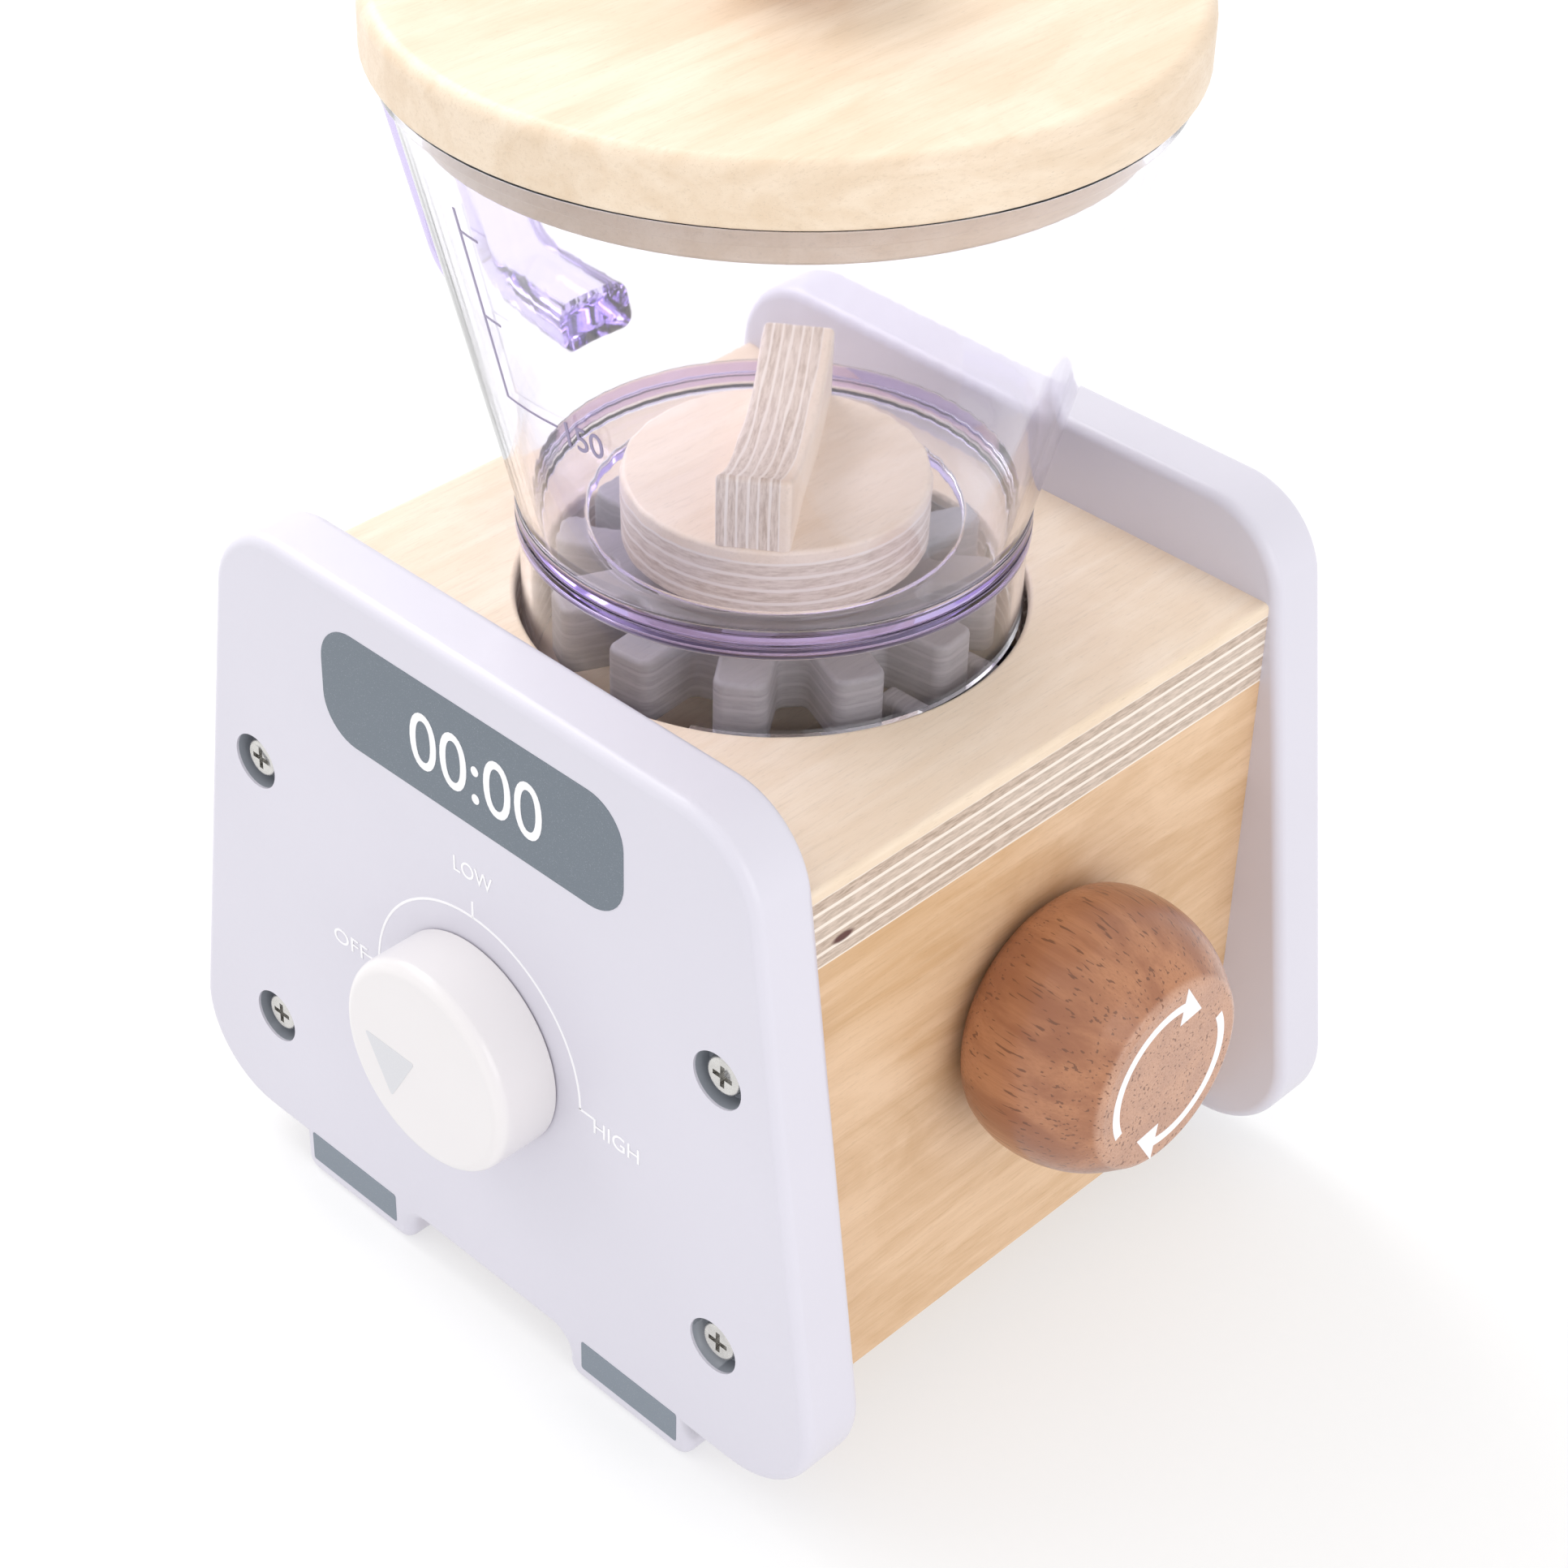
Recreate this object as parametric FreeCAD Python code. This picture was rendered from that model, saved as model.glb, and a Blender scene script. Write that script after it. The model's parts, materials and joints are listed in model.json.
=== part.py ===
import FreeCAD, Part
import math
import os

os.makedirs("parts", exist_ok=True)

# Fits shared by every piece, in millimetres
glue_gap = 0.05
running_gap = 0.08
seat_gap = 0.2
free_gap = 0.5
past = 1.0
big = 400.0
close = 1e-4
parallel = 0.999

# Box of boards: X across, Y from front to back, Z up from the floor
box_width = 120.0
box_depth = 107.0
side_board_thick = 12.0
side_board_bottom = 12.0
top_plate_thick = 15.0
top_plate_top = 118.0
plate_edge_round = 1.0
bottom_board_thick = 8.0
plate_hole_radius = 41.5
shelf_thick = 9.0

# End panels, one at the front and one at the rear
panel_thick = 12.0
panel_top = 133.3
panel_top_half_width = 59.5
panel_side_slope = 0.143
panel_body_bottom = 7.6
panel_top_corner = 16.0
panel_low_corner = 17.0
panel_edge_round = 2.0
foot_inner = 20.0
foot_width = 28.5
foot_corner = 3.0
foot_arch_round = 4.0

# Screws that hold the panels to the side boards
panel_screw_heights = (86.7, 31.3)
screw_head_radius = 3.4
screw_head_height = 2.3
screw_shank_radius = 1.75
screw_length = 34.0
screw_tip_ratio = 1.5
screw_recess_radius = 5.0
screw_recess_depth = 3.4
screw_hole_slack = 0.35
cross_slot_width = 0.9
cross_slot_length = 4.0
cross_slot_depth = 1.2
screw_edge_round = 0.6

# Dowels in the joints of the boards
dowel_radius = 3.0
dowel_half_length = 9.0
dowel_end_gap = 0.5
plate_dowel_y = 38.0
bottom_dowel_y = 36.0

# Mixer that stands in the hole of the top plate
shaft_radius = 5.0
drive_teeth = 12
drive_tip_radius = 36.5
drive_root_radius = 25.5
drive_tip_width = 8.4
drive_root_width = 8.8
drive_tip_round = 2.2
drive_root_round = 1.8
drive_thick = 12.0
drive_bottom_lift = 8.5
drive_spacer_radius = 8.0
hub_lift = 5.6
hub_spacer_radius = 9.0
hub_radius = 24.8
hub_thick = 11.9
hub_shaft_depth = 9.0
hub_edge_round = 0.8
mesh_phase = -8.5

# Blade on the hub
blade_thick = 11.5
blade_length = 48.6
blade_tip_height = 12.8
blade_middle_height = 6.5
blade_edge_round = 0.8
blade_turn = -54.0
blade_dowel_radius = 2.0
blade_dowel_reach = 12.0
blade_dowel_depth = 5.0

# Crank with its knob on the right-hand side
crank_mesh_depth = 4.0
crank_teeth = 16
crank_tip_radius = 47.0
crank_root_radius = 36.0
crank_tip_width = 3.6
crank_root_width = 9.1
crank_tip_round = 1.2
crank_root_round = 1.6
crank_thick = 9.0
crank_gear_inner = 29.5
crank_spacer_radius = 9.0
crank_bearing_depth = 8.0
crank_knob_back_radius = 18.5
crank_knob_radius = 23.2
crank_knob_face_radius = 16.5
crank_knob_length = 27.5
crank_knob_belly = 9.0
crank_knob_shoulder = 13.5
crank_knob_back_curve = (3.0, 21.2)
crank_knob_front_curve = (21.5, 20.9)
crank_knob_edge_round = 1.0
crank_knob_bore = 16.0

# Clearances cut for the crank gear
shelf_slot_inner = 17.0
slot_side_gap = 2.0
slot_end_gap = 2.0
pocket_roof_gap = 2.5

# Dial on the front panel
dial_height = 61.3
dial_radius = 19.0
dial_length = 11.7
dial_edge_round = 2.2
dial_spindle_radius = 4.0
dial_spindle_depth = 8.0
washer_thick = 1.2
washer_radius = 7.5
small_screw_length = 10.0

# Jug: a skirt in the hole, a double ring, and a cone above
skirt_side_gap = 0.9
skirt_wall = 1.7
ring_lift = 13.5
ring_height = 5.5
ring_radius = 41.3
ring_groove_depth = 0.5
ring_groove_width = 0.6
jug_floor_thick = 2.5
jug_floor_gap = 5.2
cone_base_radius = 41.0
cone_slope = 0.244
cone_wall = 2.2
jug_rim_lift = 96.0
rim_lip = 1.2
rim_lip_height = 3.0
notch_roof_gap = 1.2

# Handle on the left-hand side of the jug
handle_reach = 88.0
handle_width = 16.0
handle_thick = 8.0
handle_low_lift = 28.0
handle_high_lift = 90.0
handle_low_reach = 72.0
handle_bend_lift = 62.0
handle_corner = 12.0
handle_inner_corner = 6.0
handle_edge_round = 2.4

# Lid
lid_thick = 10.0
lid_overhang = 1.0
lid_edge_round = 2.5
lid_plug_thick = 8.0
lid_plug_gap = 0.5
lid_knob_base_radius = 8.5
lid_knob_radius = 14.0
lid_knob_height = 22.0
lid_knob_belly = 14.0
lid_knob_waist = 9.8
lid_knob_edge_round = 2.0
lid_screw_length = 24.0

# Places worked out from the sizes above
half_width = box_width / 2
half_depth = box_depth / 2
inner_half_width = half_width - side_board_thick
screw_x = half_width - side_board_thick / 2
plate_bottom = top_plate_top - top_plate_thick
shelf_top = plate_bottom
shelf_bottom = shelf_top - shelf_thick
drive_bottom = shelf_top + drive_bottom_lift
drive_top = drive_bottom + drive_thick
hub_bottom = drive_top + hub_lift
hub_top = hub_bottom + hub_thick
crank_gear_outer = crank_gear_inner + crank_thick
crank_gear_top = drive_bottom + crank_mesh_depth
crank_height = crank_gear_top - crank_tip_radius
knob_back = half_width + free_gap
crank_reach = knob_back + crank_knob_length
panel_front = -half_depth - panel_thick
dial_back = panel_front - seat_gap
dial_face = dial_back - dial_length
skirt_radius = plate_hole_radius - skirt_side_gap
skirt_bottom = shelf_top + seat_gap
ring_bottom = top_plate_top + ring_lift
ring_top = ring_bottom + ring_height
jug_floor_top = ring_bottom + jug_floor_thick
jug_hole_radius = hub_radius + jug_floor_gap
jug_rim = top_plate_top + jug_rim_lift
cone_rim_radius = cone_base_radius + cone_slope * (jug_rim - ring_top)
lid_bottom = jug_rim + seat_gap
lid_top = lid_bottom + lid_thick
lid_plug_bottom = lid_bottom - lid_plug_thick
shift_x = (handle_reach - crank_reach) / 2
shift_y = (-half_depth - panel_thick - dial_face) / 2

axis_x = FreeCAD.Vector(1, 0, 0)
axis_y = FreeCAD.Vector(0, 1, 0)
axis_z = FreeCAD.Vector(0, 0, 1)
origin = FreeCAD.Vector(0, 0, 0)


def at(x, y, z):
    return FreeCAD.Vector(x, y, z)


def block(low, high):
    size = [b - a for a, b in zip(low, high)]
    return Part.makeBox(*size, at(*low))


def rod(radius, start, end):
    path = at(*end) - at(*start)
    return Part.makeCylinder(radius, path.Length, at(*start), path)


def tube(outer, inner, start, end):
    path = at(*end) - at(*start)
    path.normalize()
    low = at(*start) - path * past
    high = at(*end) + path * past
    return rod(outer, start, end).cut(rod(inner, tuple(low), tuple(high)))


def outline(points):
    corners = [at(*point) for point in points]
    return Part.Face(Part.makePolygon(corners + corners[:1]))


def turned(edges, axis):
    return Part.Face(Part.Wire(edges)).revolve(origin, axis, 360)


def line(start, end):
    return Part.LineSegment(at(*start), at(*end)).toShape()


def arc(start, middle, end):
    return Part.Arc(at(*start), at(*middle), at(*end)).toShape()


def polygon_edges(points):
    ends = points[1:] + points[:1]
    return [line(start, end) for start, end in zip(points, ends)]


def round_edges(solid, radius, chosen):
    edges = [edge for edge in solid.Edges if chosen(edge)]
    return solid.makeFillet(radius, edges) if edges else solid


def runs_along(edge, axis):
    ends = [vertex.Point for vertex in edge.Vertexes]
    if len(ends) < 2:
        return False
    path = ends[1] - ends[0]
    straight = isinstance(edge.Curve, Part.Line)
    return straight and abs(path.dot(axis)) > path.Length * parallel


def lies_in(edge, axis, level):
    box = edge.BoundBox
    low, high = ((box.XMin, box.XMax), (box.YMin, box.YMax), (box.ZMin, box.ZMax))[axis]
    return abs(low - level) < close and abs(high - level) < close


def moved_to_frame(solid):
    placed = solid.copy()
    placed.translate(at(shift_x, shift_y, 0))
    return placed


def write(name, solids):
    placed = [moved_to_frame(solid) for solid in solids]
    shape = Part.Compound(placed) if len(placed) > 1 else placed[0]
    shape.exportStep("parts/" + name + ".step")


def mirrored(solid, normal):
    return solid.mirror(origin, normal)


def panel_blank():
    low_half = panel_top_half_width + panel_side_slope * (panel_top - panel_body_bottom)
    foot_outer = foot_inner + foot_width
    half = [(0, panel_top), (panel_top_half_width, panel_top), (low_half, panel_body_bottom),
            (foot_outer, panel_body_bottom), (foot_outer, 0), (foot_inner, 0),
            (foot_inner, panel_body_bottom), (0, panel_body_bottom)]
    blank = outline([(x, panel_front, z) for x, z in half]).extrude(at(0, panel_thick, 0))
    corner_rounds = {(panel_top_half_width, panel_top): panel_top_corner,
                     (low_half, panel_body_bottom): panel_low_corner,
                     (foot_outer, 0): foot_corner,
                     (foot_inner, 0): foot_corner,
                     (foot_inner, panel_body_bottom): foot_arch_round}
    for (x, z), radius in corner_rounds.items():
        blank = round_edges(blank, radius, lambda e: runs_along(e, axis_y)
                            and abs(e.BoundBox.XMin - x) < close and abs(e.BoundBox.ZMin - z) < close)
    whole = blank.fuse(mirrored(blank, axis_x)).removeSplitter()
    return round_edges(whole, panel_edge_round, lambda e: lies_in(e, 1, panel_front)
                       or lies_in(e, 1, panel_front + panel_thick))


def screw_places():
    return [(side * screw_x, height) for height in panel_screw_heights for side in (-1, 1)]


def with_screw_holes(panel):
    for x, z in screw_places():
        recess = rod(screw_recess_radius, (x, panel_front - past, z),
                     (x, panel_front + screw_recess_depth, z))
        hole = rod(screw_shank_radius + screw_hole_slack, (x, panel_front, z), (x, -half_depth + past, z))
        panel = panel.cut(recess).cut(hole)
    return panel


def pan_screw(length):
    head = rod(screw_head_radius, (0, 0, 0), (0, 0, screw_head_height))
    head = round_edges(head, screw_edge_round, lambda e: lies_in(e, 2, screw_head_height))
    tip = screw_shank_radius * screw_tip_ratio
    shank = rod(screw_shank_radius, (0, 0, tip - length), (0, 0, 0))
    point = Part.makeCone(0, screw_shank_radius, tip, at(0, 0, -length))
    screw = head.fuse(shank).fuse(point)
    half = cross_slot_length / 2
    wide = cross_slot_width / 2
    floor = screw_head_height - cross_slot_depth
    for reach_x, reach_y in ((half, wide), (wide, half)):
        screw = screw.cut(block((-reach_x, -reach_y, floor), (reach_x, reach_y, screw_head_height + past)))
    return screw.removeSplitter()


def placed_screw(length, place, axis, degrees):
    screw = pan_screw(length)
    screw.rotate(origin, axis, degrees)
    screw.translate(at(*place))
    return screw


def front_screws():
    seat = panel_front + screw_recess_depth
    return [placed_screw(screw_length, (x, seat, z), axis_x, 90) for x, z in screw_places()]


def front_panel():
    panel = with_screw_holes(panel_blank())
    bore = rod(dial_spindle_radius + running_gap, (0, panel_front - past, dial_height),
               (0, -half_depth + past, dial_height))
    return panel.cut(bore)


def plate_dowel_places():
    return [(x * screw_x, y * plate_dowel_y) for x in (-1, 1) for y in (-1, 1)]


def plate_dowel(x, y, radius, reach):
    return rod(radius, (x, y, plate_bottom - reach), (x, y, plate_bottom + reach))


def bottom_dowel_places():
    return [(x, y * bottom_dowel_y) for x in (-1, 1) for y in (-1, 1)]


def bottom_dowel(side, y, radius, reach):
    z = side_board_bottom + bottom_board_thick / 2
    return rod(radius, (side * (inner_half_width - reach), y, z), (side * (inner_half_width + reach), y, z))


def cut_all(solid, tools):
    for tool in tools:
        solid = solid.cut(tool)
    return solid


def gear_chord(level):
    drop = level - crank_height
    return math.sqrt(crank_tip_radius ** 2 - drop ** 2)


def top_plate():
    plate = block((-half_width, -half_depth, plate_bottom), (half_width, half_depth, top_plate_top))
    plate = plate.cut(rod(plate_hole_radius, (0, 0, plate_bottom - past), (0, 0, top_plate_top + past)))
    plate = round_edges(plate, plate_edge_round, lambda e: lies_in(e, 2, top_plate_top)
                        and (runs_along(e, axis_y) or not runs_along(e, axis_x)))
    pocket_y = gear_chord(plate_bottom) + slot_end_gap
    roof = top_plate_top - pocket_roof_gap
    pocket = block((crank_gear_inner - slot_side_gap, -pocket_y, plate_bottom - past),
                   (crank_gear_outer + slot_side_gap, pocket_y, roof))
    pocket = round_edges(pocket, slot_end_gap, lambda e: runs_along(e, axis_x) and lies_in(e, 2, roof))
    sockets = [plate_dowel(x, y, dowel_radius + glue_gap, dowel_half_length + dowel_end_gap)
               for x, y in plate_dowel_places()]
    return cut_all(plate.cut(pocket), sockets)


def gear_shelf():
    shelf = block((-inner_half_width, -half_depth, shelf_bottom), (inner_half_width, half_depth, shelf_top))
    slot_y = gear_chord(shelf_bottom) + slot_end_gap
    slot = block((shelf_slot_inner, -slot_y, shelf_bottom - past),
                 (crank_gear_outer + slot_side_gap, slot_y, shelf_top + past))
    bore = rod(shaft_radius + running_gap, (0, 0, shelf_bottom - past), (0, 0, shelf_top + past))
    return shelf.cut(slot).cut(bore)


def side_board(side):
    inner = side * inner_half_width
    outer = side * half_width
    board = block((min(inner, outer), -half_depth, side_board_bottom),
                  (max(inner, outer), half_depth, plate_bottom))
    sockets = [plate_dowel(x, y, dowel_radius + glue_gap, dowel_half_length + dowel_end_gap)
               for x, y in plate_dowel_places()]
    sockets += [bottom_dowel(s, y, dowel_radius + glue_gap, dowel_half_length + dowel_end_gap)
                for s, y in bottom_dowel_places()]
    seat = panel_front + screw_recess_depth
    for x, z in screw_places():
        pilot = rod(screw_shank_radius + glue_gap, (x, -half_depth - past, z),
                    (x, seat + screw_length + past, z))
        sockets += [pilot, mirrored(pilot, axis_y)]
    return cut_all(board, sockets)


def right_side_board():
    bore = rod(shaft_radius + running_gap, (inner_half_width - past, 0, crank_height),
               (half_width + past, 0, crank_height))
    return side_board(1).cut(bore)


def left_side_board():
    bore = rod(shaft_radius + running_gap,
               (-inner_half_width - crank_bearing_depth - free_gap, 0, crank_height),
               (-inner_half_width + past, 0, crank_height))
    return side_board(-1).cut(bore)


def bottom_board():
    board = block((-inner_half_width, -half_depth, side_board_bottom),
                  (inner_half_width, half_depth, side_board_bottom + bottom_board_thick))
    sockets = [bottom_dowel(s, y, dowel_radius + glue_gap, dowel_half_length + dowel_end_gap)
               for s, y in bottom_dowel_places()]
    return cut_all(board, sockets)


def gear(teeth, tip_radius, root_radius, tip_width, root_width, thick, tip_round, root_round, phase):
    root_reach = math.sqrt(root_radius ** 2 - (root_width / 2) ** 2)
    tip_reach = math.sqrt(tip_radius ** 2 - (tip_width / 2) ** 2)
    tooth = [(root_reach, -root_width / 2), (tip_reach, -tip_width / 2), (tip_reach, tip_width / 2),
             (root_reach, root_width / 2)]
    points = []
    for index in range(teeth):
        turn = math.radians(phase + 360 * index / teeth)
        points += [(reach * math.cos(turn) - side * math.sin(turn),
                    reach * math.sin(turn) + side * math.cos(turn), 0) for reach, side in tooth]
    wheel = outline(points).extrude(at(0, 0, thick))
    middle = (root_radius + tip_radius) / 2

    def corner(edge, outer):
        if not runs_along(edge, axis_z):
            return False
        point = edge.Vertexes[0].Point
        return (math.hypot(point.x, point.y) > middle) == outer

    wheel = round_edges(wheel, tip_round, lambda e: corner(e, True))
    return round_edges(wheel, root_round, lambda e: corner(e, False))


def drive_gear():
    phase = 180 / drive_teeth + mesh_phase
    wheel = gear(drive_teeth, drive_tip_radius, drive_root_radius, drive_tip_width, drive_root_width,
                 drive_thick, drive_tip_round, drive_root_round, phase)
    wheel.translate(at(0, 0, drive_bottom))
    return wheel.cut(rod(shaft_radius + glue_gap, (0, 0, drive_bottom - past), (0, 0, drive_top + past)))


def crank_gear():
    phase = -mesh_phase * drive_teeth / crank_teeth
    wheel = gear(crank_teeth, crank_tip_radius, crank_root_radius, crank_tip_width, crank_root_width,
                 crank_thick, crank_tip_round, crank_root_round, phase)
    wheel = wheel.cut(rod(shaft_radius + glue_gap, (0, 0, -past), (0, 0, crank_thick + past)))
    upright = FreeCAD.Rotation(axis_y, axis_z, axis_x, "ZXY")
    wheel.Placement = FreeCAD.Placement(at(crank_gear_inner, 0, crank_height), upright)
    return wheel


def mixer_shaft():
    return rod(shaft_radius, (0, 0, shelf_bottom - seat_gap), (0, 0, hub_bottom + hub_shaft_depth))


def mixer_shaft_drilled():
    pilot = rod(screw_shank_radius + glue_gap, (0, 0, shelf_bottom - past),
                (0, 0, shelf_bottom + small_screw_length))
    return mixer_shaft().cut(pilot)


def drive_spacer():
    return tube(drive_spacer_radius, shaft_radius + glue_gap, (0, 0, shelf_top + seat_gap),
                (0, 0, drive_bottom))


def hub_spacer():
    return tube(hub_spacer_radius, shaft_radius + glue_gap, (0, 0, drive_top), (0, 0, hub_bottom))


def mixer_washer():
    top = shelf_bottom - seat_gap
    return tube(washer_radius, screw_shank_radius + screw_hole_slack, (0, 0, top - washer_thick), (0, 0, top))


def mixer_screw():
    seat = shelf_bottom - seat_gap - washer_thick
    return placed_screw(small_screw_length, (0, 0, seat), axis_x, 180)


def blade_dowel_places():
    turn = math.radians(blade_turn)
    reaches = (-blade_dowel_reach, blade_dowel_reach)
    return [(reach * math.cos(turn), reach * math.sin(turn)) for reach in reaches]


def blade_dowel(x, y, radius, slack):
    return rod(radius, (x, y, hub_top - blade_dowel_depth - slack),
               (x, y, hub_top + blade_dowel_depth + slack))


def hub_disc():
    disc = rod(hub_radius, (0, 0, hub_bottom), (0, 0, hub_top))
    disc = round_edges(disc, hub_edge_round, lambda e: lies_in(e, 2, hub_top) or lies_in(e, 2, hub_bottom))
    bore = rod(shaft_radius + glue_gap, (0, 0, hub_bottom - past), (0, 0, hub_bottom + hub_shaft_depth))
    sockets = [blade_dowel(x, y, blade_dowel_radius + glue_gap, glue_gap) for x, y in blade_dowel_places()]
    return cut_all(disc.cut(bore), sockets)


def mixing_blade():
    half = blade_length / 2
    side = -blade_thick / 2
    near_tip = (half, side, blade_tip_height)
    far_tip = (-half, side, blade_tip_height)
    edges = [line((-half, side, 0), (half, side, 0)),
             line((half, side, 0), near_tip),
             arc(near_tip, (0, side, blade_middle_height), far_tip),
             line(far_tip, (-half, side, 0))]
    blade = Part.Face(Part.Wire(edges)).extrude(at(0, blade_thick, 0))
    blade = round_edges(blade, blade_edge_round, lambda e: not lies_in(e, 2, 0))
    blade.rotate(origin, axis_z, blade_turn)
    blade.translate(at(0, 0, hub_top))
    sockets = [blade_dowel(x, y, blade_dowel_radius + glue_gap, glue_gap) for x, y in blade_dowel_places()]
    return cut_all(blade, sockets)


def crank_shaft_end():
    return knob_back + crank_knob_bore


def crank_shaft():
    start = -inner_half_width - crank_bearing_depth
    return rod(shaft_radius, (start, 0, crank_height), (crank_shaft_end(), 0, crank_height))


def crank_spacer():
    return tube(crank_spacer_radius, shaft_radius + glue_gap, (crank_gear_outer, 0, crank_height),
                (inner_half_width - seat_gap, 0, crank_height))


def crank_knob():
    def point(reach, radius):
        return (knob_back + reach, 0, radius)

    back = point(0, crank_knob_back_radius)
    belly = point(crank_knob_belly, crank_knob_radius)
    shoulder = point(crank_knob_shoulder, crank_knob_radius)
    face = point(crank_knob_length, crank_knob_face_radius)
    edges = [line(point(0, 0), back),
             arc(back, point(*crank_knob_back_curve), belly),
             line(belly, shoulder),
             arc(shoulder, point(*crank_knob_front_curve), face),
             line(face, point(crank_knob_length, 0)),
             line(point(crank_knob_length, 0), point(0, 0))]
    knob = turned(edges, axis_x)
    knob = round_edges(knob, crank_knob_edge_round,
                       lambda e: lies_in(e, 0, crank_reach) or lies_in(e, 0, knob_back))
    knob.translate(at(0, 0, crank_height))
    return knob.cut(rod(shaft_radius + glue_gap, (knob_back - past, 0, crank_height),
                        (crank_shaft_end() + free_gap, 0, crank_height)))


def dial_knob():
    knob = rod(dial_radius, (0, dial_back, dial_height), (0, dial_face, dial_height))
    knob = round_edges(knob, dial_edge_round, lambda e: lies_in(e, 1, dial_face))
    bore = rod(dial_spindle_radius + glue_gap, (0, dial_back + past, dial_height),
               (0, dial_back - dial_spindle_depth - free_gap, dial_height))
    return knob.cut(bore)


def dial_spindle():
    inner_end = -half_depth + seat_gap
    spindle = rod(dial_spindle_radius, (0, dial_back - dial_spindle_depth, dial_height),
                  (0, inner_end, dial_height))
    pilot = rod(screw_shank_radius + glue_gap, (0, inner_end - small_screw_length, dial_height),
                (0, inner_end + past, dial_height))
    return spindle.cut(pilot)


def dial_washer():
    start = -half_depth + seat_gap
    return tube(washer_radius, screw_shank_radius + screw_hole_slack, (0, start, dial_height),
                (0, start + washer_thick, dial_height))


def dial_screw():
    seat = -half_depth + seat_gap + washer_thick
    return placed_screw(small_screw_length, (0, seat, dial_height), axis_x, -90)


def cone_radius(level):
    return cone_base_radius + cone_slope * (level - ring_top)


def jug_outer_points():
    groove = (ring_bottom + ring_top) / 2
    half = ring_groove_width / 2
    dip = ring_radius - ring_groove_depth
    return [(skirt_radius, skirt_bottom), (skirt_radius, ring_bottom), (ring_radius, ring_bottom),
            (ring_radius, groove - half), (dip, groove - half), (dip, groove + half),
            (ring_radius, groove + half),
            (ring_radius, ring_top), (cone_base_radius, ring_top),
            (cone_radius(jug_rim - rim_lip_height), jug_rim - rim_lip_height),
            (cone_rim_radius + rim_lip, jug_rim - rim_lip_height), (cone_rim_radius + rim_lip, jug_rim)]


def jug_body():
    inner_points = [(cone_rim_radius - cone_wall, jug_rim),
                    (cone_radius(jug_floor_top) - cone_wall, jug_floor_top),
                    (jug_hole_radius, jug_floor_top), (jug_hole_radius, ring_bottom),
                    (skirt_radius - skirt_wall, ring_bottom), (skirt_radius - skirt_wall, skirt_bottom)]
    profile = [(radius, 0, level) for radius, level in jug_outer_points() + inner_points]
    jug = turned(polygon_edges(profile), axis_z)
    roof = crank_gear_top + notch_roof_gap
    notch = block((shelf_slot_inner, -big, skirt_bottom - past), (big, big, roof))
    return jug.cut(notch)


def jug_envelope():
    middle = cone_base_radius / 2
    points = [(0, 0, ring_bottom), (middle, 0, ring_bottom), (cone_base_radius, 0, ring_bottom),
              (cone_base_radius, 0, ring_top), (cone_rim_radius, 0, jug_rim), (0, 0, jug_rim)]
    return turned(polygon_edges(points), axis_z)


def handle_outline(inset, low_reach, corner):
    low = top_plate_top + handle_low_lift + inset
    high = top_plate_top + handle_high_lift - inset
    side = -handle_width / 2
    bend = top_plate_top + handle_bend_lift
    outer = -handle_reach + inset
    points = [(0, side, low), (-low_reach, side, low), (outer, side, bend),
              (outer, side, high), (0, side, high)]
    loop = outline(points).extrude(at(0, handle_width, 0))
    return round_edges(loop, corner, lambda e: runs_along(e, axis_y) and e.BoundBox.XMax < -past)


def jug_handle():
    outer = handle_outline(0, handle_low_reach, handle_corner)
    inner = handle_outline(handle_thick, handle_low_reach - handle_thick, handle_inner_corner)
    loop = outer.cut(inner)
    loop = round_edges(loop, handle_edge_round, lambda e: (lies_in(e, 1, -handle_width / 2)
                                                          or lies_in(e, 1, handle_width / 2))
                       and not runs_along(e, axis_z))
    return loop.cut(jug_envelope())


def lid_disc():
    radius = cone_rim_radius + rim_lip + lid_overhang
    disc = rod(radius, (0, 0, lid_bottom), (0, 0, lid_top))
    disc = round_edges(disc, lid_edge_round, lambda e: lies_in(e, 2, lid_top))
    return disc.cut(rod(screw_shank_radius + screw_hole_slack, (0, 0, lid_bottom - past),
                        (0, 0, lid_top + past)))


def lid_plug():
    radius = cone_radius(lid_plug_bottom) - cone_wall - lid_plug_gap
    plug = rod(radius, (0, 0, lid_plug_bottom), (0, 0, lid_bottom))
    recess = rod(screw_recess_radius, (0, 0, lid_plug_bottom - past),
                 (0, 0, lid_plug_bottom + screw_recess_depth))
    return plug.cut(recess).cut(rod(screw_shank_radius + screw_hole_slack, (0, 0, lid_plug_bottom),
                                    (0, 0, lid_bottom + past)))


def lid_knob():
    belly = lid_top + lid_knob_belly
    top = lid_top + lid_knob_height
    crown_height = lid_knob_height - lid_knob_belly
    crown_radius = (lid_knob_radius ** 2 + crown_height ** 2) / (2 * crown_height)
    half_turn = math.asin(lid_knob_radius / crown_radius) / 2
    crown = (crown_radius * math.sin(half_turn), 0, top - crown_radius * (1 - math.cos(half_turn)))
    edges = [line((0, 0, lid_top), (lid_knob_base_radius, 0, lid_top)),
             arc((lid_knob_base_radius, 0, lid_top), (lid_knob_waist, 0, (lid_top + belly) / 2),
                 (lid_knob_radius, 0, belly)),
             arc((lid_knob_radius, 0, belly), crown, (0, 0, top)),
             line((0, 0, top), (0, 0, lid_top))]
    knob = turned(edges, axis_z)
    knob = round_edges(knob, lid_knob_edge_round, lambda e: lies_in(e, 2, belly))
    seat = lid_plug_bottom + screw_recess_depth
    return knob.cut(rod(screw_shank_radius + glue_gap, (0, 0, lid_top - past),
                        (0, 0, seat + lid_screw_length + past)))


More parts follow.
